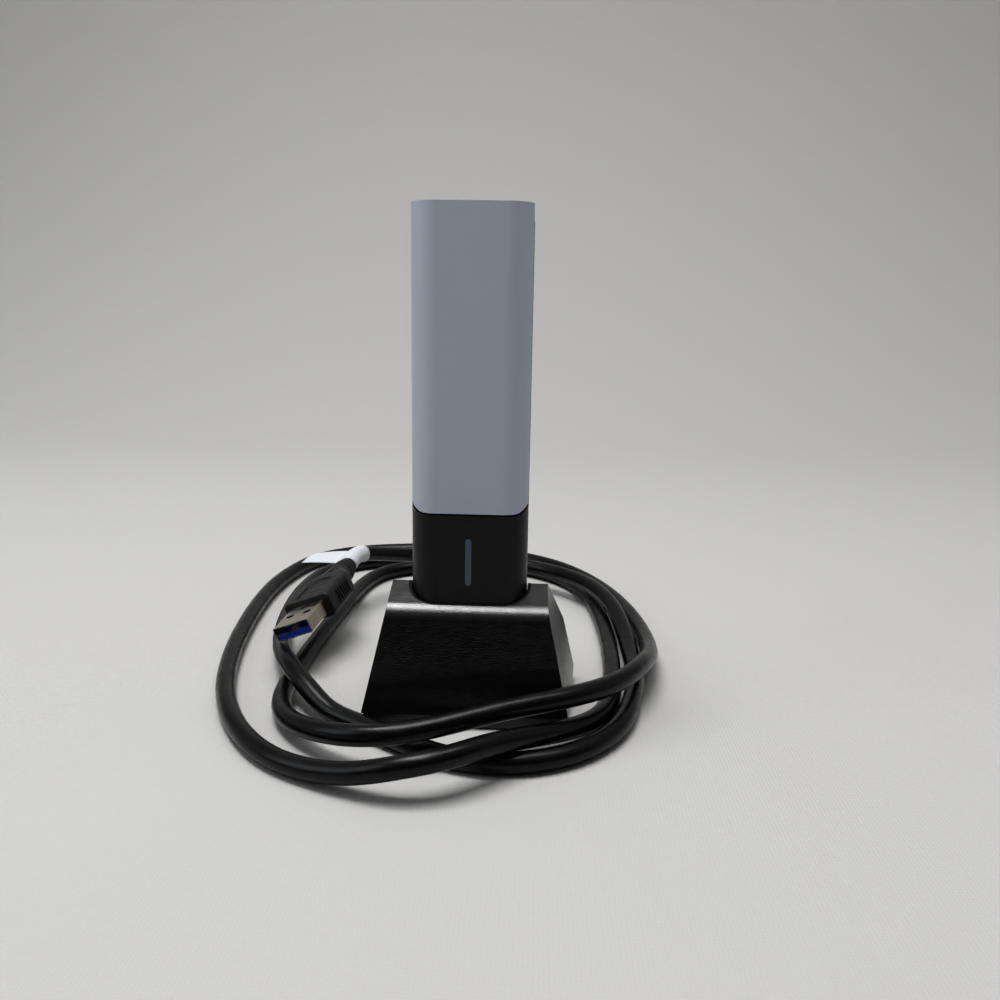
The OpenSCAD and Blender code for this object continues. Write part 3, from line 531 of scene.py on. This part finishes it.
profile = mesh_object("cradle_profile",
                      [(x * mm, y * mm, z * mm) for x in (-past_side, past_side) for y, z in bend],
                      [tuple(range(count)), tuple(reversed(range(count, 2 * count)))]
                      + [((i + 1) % count, i, count + i, count + (i + 1) % count) for i in range(count)])
bpy.context.view_layer.update()
outside_well, above_foot = 17.2 * mm, 6.0 * mm
softened("cradle_shell", "cradle_moulding", "cradle", cradle_skin, 0.25 * mm,
         first=lambda a, b: min(abs(a.x), abs(b.x)) > outside_well and max(a.z, b.z) > above_foot,
         first_width=0.55 * mm, within=profile)

# The liner is a dull black sleeve in the well, which keeps the gap round the stick
# dark.
liner = worn_by(*finish_of("liner_abs", "#030304", 0.7, IOR=1.3), 2600.0, 0.65, 0.78, 0.02 * mm)
dress(liner, "well_liner")

# The plinth is a tray of the same plastic, without the glitter and a little duller,
# screwed up from below, with a rubber foot let into it.
tray = worn_by(*finish_of("smooth_abs", "#08080A", 0.4), 2000.0, 0.32, 0.45, 0.015 * mm)
softened("cradle_plinth", "plinth_tray", "cradle", tray, 0.25 * mm)
rubber = worn_by(*finish_of("foot_rubber", "#141414", 0.85), 1400.0, 0.78, 0.92, 0.05 * mm, 0.05 * mm)
softened("foot_pad", "rubber_foot", "cradle", rubber, 0.3 * mm)
dress(tray, "cord_clamp")
dress(jacket, "cord_gland")

# Inside: zinc-plated steel ballast and screws, grey and patchy, and the socket on
# its small board under glossy green solder mask. The wires are red enamel.
steel = worn_by(*finish_of("zinc_plated_steel", "#B4B7BA", 0.3, 1.0), 900.0, 0.25, 0.45, 0.01 * mm)
dress(steel, "ballast_plate", "plinth_screws", "board_screws", "housing_screws", "antenna_screws",
      "hinge_pins", "hinge_washers")
dress(nickel, "socket_shell", "plug_shell", "shield_can")
laminate = worn_by(*finish_of("solder_mask", "#0E4A2B", 0.4, Coat_Weight=0.3), 1200.0, 0.35, 0.5, 0.01 * mm)
dress(laminate, "socket_board", "main_board")
wire = worn_by(*finish_of("wire_enamel", "#A3201C", 0.4), 1500.0, 0.35, 0.5, 0.01 * mm)
dress(wire, "inner_wires", "radio_leads", "antenna_leads")

# ---- The stick ---------------------------------------------------------------
# Two ABS halves snapped and screwed together, finely eroded to a soft satin, with
# a seam down each side and a smooth round to every edge.
housing = worn_by(*finish_of("satin_abs", "#040405", 0.38, IOR=1.4), 4200.0, 0.34, 0.42, 0.012 * mm)
softened("front_housing", "housing_front", "stick", housing, 0.2 * mm)
softened("rear_housing", "housing_rear", "stick", housing, 0.2 * mm)

# The light pipe is a frosted strip of polycarbonate pressed in from behind, dark
# while the stick is unplugged.
frosted = worn_by(*finish_of("frosted_polycarbonate", "#566373", 0.35, Transmission_Weight=0.25,
                             IOR=1.58), 3000.0, 0.3, 0.42, 0.01 * mm)
softened("light_pipe", "light_pipe_strip", "stick", frosted, 0.12 * mm)

# Chips, pads and small parts on the main board: matt black epoxy, soft grey
# silicone, a rolled aluminium plate with a dull gloss, and a pale yellow light.
epoxy = worn_by(*finish_of("moulded_epoxy", "#17171A", 0.5), 2500.0, 0.45, 0.6, 0.02 * mm)
dress(epoxy, "radio_chip")
gap_pad = worn_by(*finish_of("gap_pad_silicone", "#858A92", 0.8), 1500.0, 0.7, 0.85, 0.04 * mm)
dress(gap_pad, "thermal_pad")
rolled = worn_by(*finish_of("rolled_aluminium", "#C6C9CC", 0.35, 1.0), 1200.0, 0.28, 0.42, 0.01 * mm)
dress(rolled, "heat_plate")
phosphor = worn_by(*finish_of("led_phosphor", "#EFE9C4", 0.35), 2000.0, 0.3, 0.4, 0.005 * mm)
dress(phosphor, "status_led")
dress(gold, "lead_sockets")

# ---- The flap ----------------------------------------------------------------
# A cover of painted ABS: a cool pale grey, sprayed to a fine matt, over the
# antenna board. It wraps over the stick's top and turns about two pins there.
paint = worn_by(*finish_of("sprayed_grey", "#B4BAC6", 0.46), 5200.0, 0.42, 0.52, 0.006 * mm, 0.01 * mm)
top_edge = 135.2 * mm
softened("antenna_cover", "flap_cover", "flap", paint, 0.3 * mm,
         first=lambda a, b: min(a.z, b.z) > top_edge, first_width=0.9 * mm)
softened("antenna_back", "flap_back", "flap", housing, 0.2 * mm)

# Under the cover is a cream glass-epoxy board with bright etched copper patches.
cream = worn_by(*finish_of("glass_epoxy", "#C8BF9A", 0.5), 1200.0, 0.45, 0.6, 0.02 * mm)
dress(cream, "antenna_board")
copper = worn_by(*finish_of("etched_copper", "#C98B5C", 0.35, 1.0), 1400.0, 0.28, 0.45, 0.008 * mm)
dress(copper, "antenna_patches")
